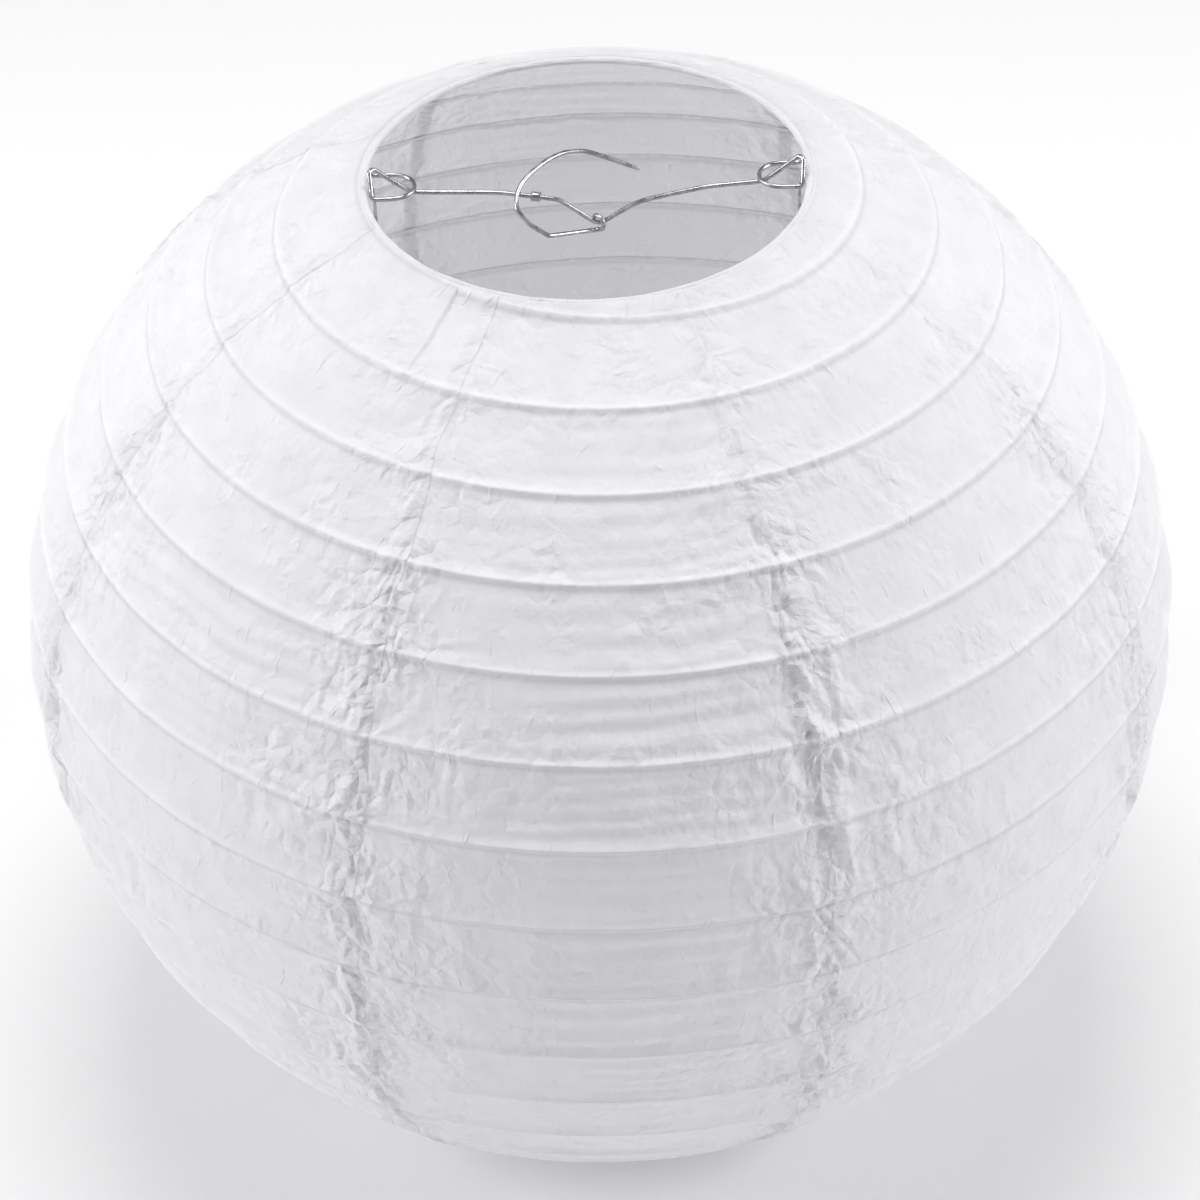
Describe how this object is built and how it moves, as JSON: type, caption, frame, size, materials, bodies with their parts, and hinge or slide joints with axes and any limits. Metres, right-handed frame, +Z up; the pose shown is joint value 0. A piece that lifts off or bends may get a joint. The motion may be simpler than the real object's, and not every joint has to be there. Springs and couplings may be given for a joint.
{
  "type": "accordion paper lantern",
  "caption": "Round folding paper lantern shade with a spiral wire frame, open mouths at top and bottom, an inner wire expander and a hanging hook.",
  "frame": {"origin": "on the floor at the centre of the bottom mouth", "axes": "+Z runs up the lantern's axis, +X along the crossbar, -Y toward the front"},
  "size_m": [0.302, 0.302, 0.2709],
  "materials": {
    "rice_paper": "matt white tissue, finely crumpled",
    "white_wire": "thin steel wire under white paste and paper",
    "zinc_wire": "bright zinc plating"
  },
  "bodies": {
    "base": {"bottom_ring": "white_wire", "paper_gore_1": "rice_paper", "paper_gore_2": "rice_paper", "paper_gore_3": "rice_paper", "paper_gore_4": "rice_paper", "paper_gore_5": "rice_paper", "paper_gore_6": "rice_paper", "paper_gore_7": "rice_paper", "paper_gore_8": "rice_paper"},
    "top_rim": {"top_ring": "white_wire"},
    "spiral_turn_01": {"spiral_turn_01": "white_wire"},
    "spiral_turn_02": {"spiral_turn_02": "white_wire"},
    "spiral_turn_03": {"spiral_turn_03": "white_wire"},
    "spiral_turn_04": {"spiral_turn_04": "white_wire"},
    "spiral_turn_05": {"spiral_turn_05": "white_wire"},
    "spiral_turn_06": {"spiral_turn_06": "white_wire"},
    "spiral_turn_07": {"spiral_turn_07": "white_wire"},
    "spiral_turn_08": {"spiral_turn_08": "white_wire"},
    "spiral_turn_09": {"spiral_turn_09": "white_wire"},
    "spiral_turn_10": {"spiral_turn_10": "white_wire"},
    "spiral_turn_11": {"spiral_turn_11": "white_wire"},
    "spiral_turn_12": {"spiral_turn_12": "white_wire"},
    "spiral_turn_13": {"spiral_turn_13": "white_wire"},
    "spiral_turn_14": {"spiral_turn_14": "white_wire"},
    "spiral_turn_15": {"spiral_turn_15": "white_wire"},
    "spiral_turn_16": {"spiral_turn_16": "white_wire"},
    "expander": {"crossbar": "zinc_wire", "crossbar_sleeve": "zinc_wire"},
    "left_leg": {"left_leg": "zinc_wire"},
    "right_leg": {"right_leg": "zinc_wire"},
    "hook": {"hanging_hook": "zinc_wire"}
  },
  "joints": [
    {"name": "shade_collapse", "type": "slide", "parent": "base", "child": "top_rim", "axis": [0, 0, -1], "range_m": [0, 0.2392], "deforming": ["paper_gore_1", "paper_gore_2", "paper_gore_3", "paper_gore_4", "paper_gore_5", "paper_gore_6", "paper_gore_7", "paper_gore_8"]},
    {"name": "spiral_turn_01_slide", "type": "slide", "parent": "base", "child": "spiral_turn_01", "axis": [0, 0, -1], "range_m": [0, 0.23374]},
    {"name": "spiral_turn_02_slide", "type": "slide", "parent": "base", "child": "spiral_turn_02", "axis": [0, 0, -1], "range_m": [0, 0.22435]},
    {"name": "spiral_turn_03_slide", "type": "slide", "parent": "base", "child": "spiral_turn_03", "axis": [0, 0, -1], "range_m": [0, 0.2126]},
    {"name": "spiral_turn_04_slide", "type": "slide", "parent": "base", "child": "spiral_turn_04", "axis": [0, 0, -1], "range_m": [0, 0.19874]},
    {"name": "spiral_turn_05_slide", "type": "slide", "parent": "base", "child": "spiral_turn_05", "axis": [0, 0, -1], "range_m": [0, 0.18309]},
    {"name": "spiral_turn_06_slide", "type": "slide", "parent": "base", "child": "spiral_turn_06", "axis": [0, 0, -1], "range_m": [0, 0.16601]},
    {"name": "spiral_turn_07_slide", "type": "slide", "parent": "base", "child": "spiral_turn_07", "axis": [0, 0, -1], "range_m": [0, 0.1479]},
    {"name": "spiral_turn_08_slide", "type": "slide", "parent": "base", "child": "spiral_turn_08", "axis": [0, 0, -1], "range_m": [0, 0.12917]},
    {"name": "spiral_turn_09_slide", "type": "slide", "parent": "base", "child": "spiral_turn_09", "axis": [0, 0, -1], "range_m": [0, 0.11023]},
    {"name": "spiral_turn_10_slide", "type": "slide", "parent": "base", "child": "spiral_turn_10", "axis": [0, 0, -1], "range_m": [0, 0.0915]},
    {"name": "spiral_turn_11_slide", "type": "slide", "parent": "base", "child": "spiral_turn_11", "axis": [0, 0, -1], "range_m": [0, 0.07339]},
    {"name": "spiral_turn_12_slide", "type": "slide", "parent": "base", "child": "spiral_turn_12", "axis": [0, 0, -1], "range_m": [0, 0.05631]},
    {"name": "spiral_turn_13_slide", "type": "slide", "parent": "base", "child": "spiral_turn_13", "axis": [0, 0, -1], "range_m": [0, 0.04066]},
    {"name": "spiral_turn_14_slide", "type": "slide", "parent": "base", "child": "spiral_turn_14", "axis": [0, 0, -1], "range_m": [0, 0.0268]},
    {"name": "spiral_turn_15_slide", "type": "slide", "parent": "base", "child": "spiral_turn_15", "axis": [0, 0, -1], "range_m": [0, 0.01505]},
    {"name": "spiral_turn_16_slide", "type": "slide", "parent": "base", "child": "spiral_turn_16", "axis": [0, 0, -1], "range_m": [0, 0.00566]},
    {"name": "expander_lift", "type": "slide", "parent": "base", "child": "expander", "axis": [0, 0, 1], "range_m": [0, 0.29]},
    {"name": "left_leg_squeeze", "type": "hinge", "parent": "expander", "child": "left_leg", "pos_m": [-0.0528, 0.0055, 0.2641], "axis": [0, -1, 0], "range_deg": [0, 5.05]},
    {"name": "right_leg_squeeze", "type": "hinge", "parent": "expander", "child": "right_leg", "pos_m": [0.0528, 0.0055, 0.2641], "axis": [0, 1, 0], "range_deg": [0, 5.05]},
    {"name": "hook_tip", "type": "hinge", "parent": "expander", "child": "hook", "pos_m": [0.0026, 0, 0.2528], "axis": [0.7547, 0.6561, 0], "range_deg": [0, 60]}
  ],
  "couplings": [
    {"joint": "spiral_turn_01_slide", "follows": "shade_collapse", "ratio": 0.97677},
    {"joint": "spiral_turn_02_slide", "follows": "shade_collapse", "ratio": 0.93749},
    {"joint": "spiral_turn_03_slide", "follows": "shade_collapse", "ratio": 0.88838},
    {"joint": "spiral_turn_04_slide", "follows": "shade_collapse", "ratio": 0.83044},
    {"joint": "spiral_turn_05_slide", "follows": "shade_collapse", "ratio": 0.76502},
    {"joint": "spiral_turn_06_slide", "follows": "shade_collapse", "ratio": 0.69362},
    {"joint": "spiral_turn_07_slide", "follows": "shade_collapse", "ratio": 0.61791},
    {"joint": "spiral_turn_08_slide", "follows": "shade_collapse", "ratio": 0.53959},
    {"joint": "spiral_turn_09_slide", "follows": "shade_collapse", "ratio": 0.46041},
    {"joint": "spiral_turn_10_slide", "follows": "shade_collapse", "ratio": 0.38209},
    {"joint": "spiral_turn_11_slide", "follows": "shade_collapse", "ratio": 0.30638},
    {"joint": "spiral_turn_12_slide", "follows": "shade_collapse", "ratio": 0.23498},
    {"joint": "spiral_turn_13_slide", "follows": "shade_collapse", "ratio": 0.16956},
    {"joint": "spiral_turn_14_slide", "follows": "shade_collapse", "ratio": 0.11162},
    {"joint": "spiral_turn_15_slide", "follows": "shade_collapse", "ratio": 0.062513},
    {"joint": "spiral_turn_16_slide", "follows": "shade_collapse", "ratio": 0.023229},
    {"joint": "left_leg_squeeze", "follows": "expander_lift", "rad_per_m": 0.30092},
    {"joint": "right_leg_squeeze", "follows": "expander_lift", "rad_per_m": 0.30092}
  ]
}
